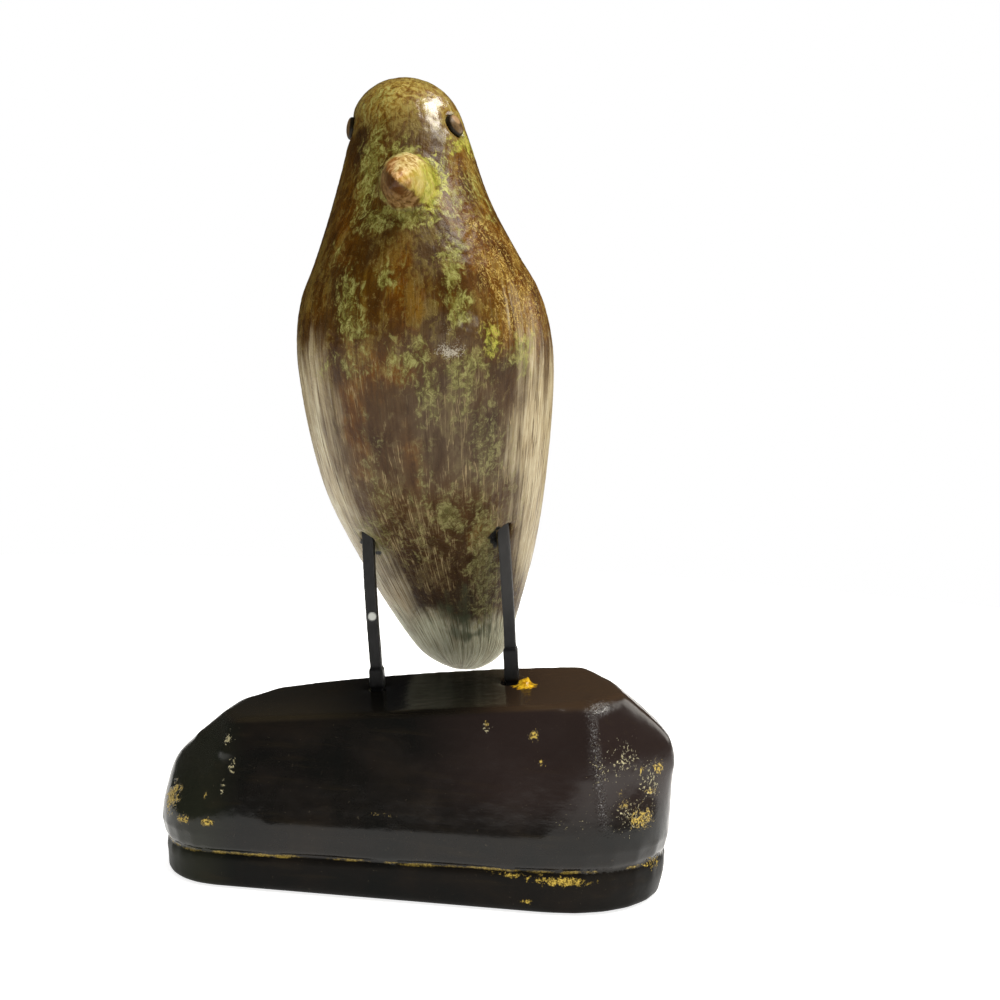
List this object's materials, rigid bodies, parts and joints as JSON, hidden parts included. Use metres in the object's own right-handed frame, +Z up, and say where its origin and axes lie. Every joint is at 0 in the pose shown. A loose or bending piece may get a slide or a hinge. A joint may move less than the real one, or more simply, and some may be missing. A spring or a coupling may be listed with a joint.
{
  "type": "bird carving",
  "caption": "Carved and painted upright wren on flat metal legs, mounted on a long lacquered wooden block with a carved foot.",
  "frame": {"origin": "middle of the block's flat underside", "axes": "+Z up; the bird looks along -Y; the block is long in X"},
  "size_m": [0.1498, 0.0995, 0.2277],
  "materials": {
    "block": "gloss",
    "bird": "satin",
    "eye": "gloss",
    "leg": "satin"
  },
  "bodies": {
    "root": {"base": "block", "bird_body": "bird", "eye_left": "eye", "eye_right": "eye", "leg_left": "leg", "leg_right": "leg"}
  },
  "joints": []
}
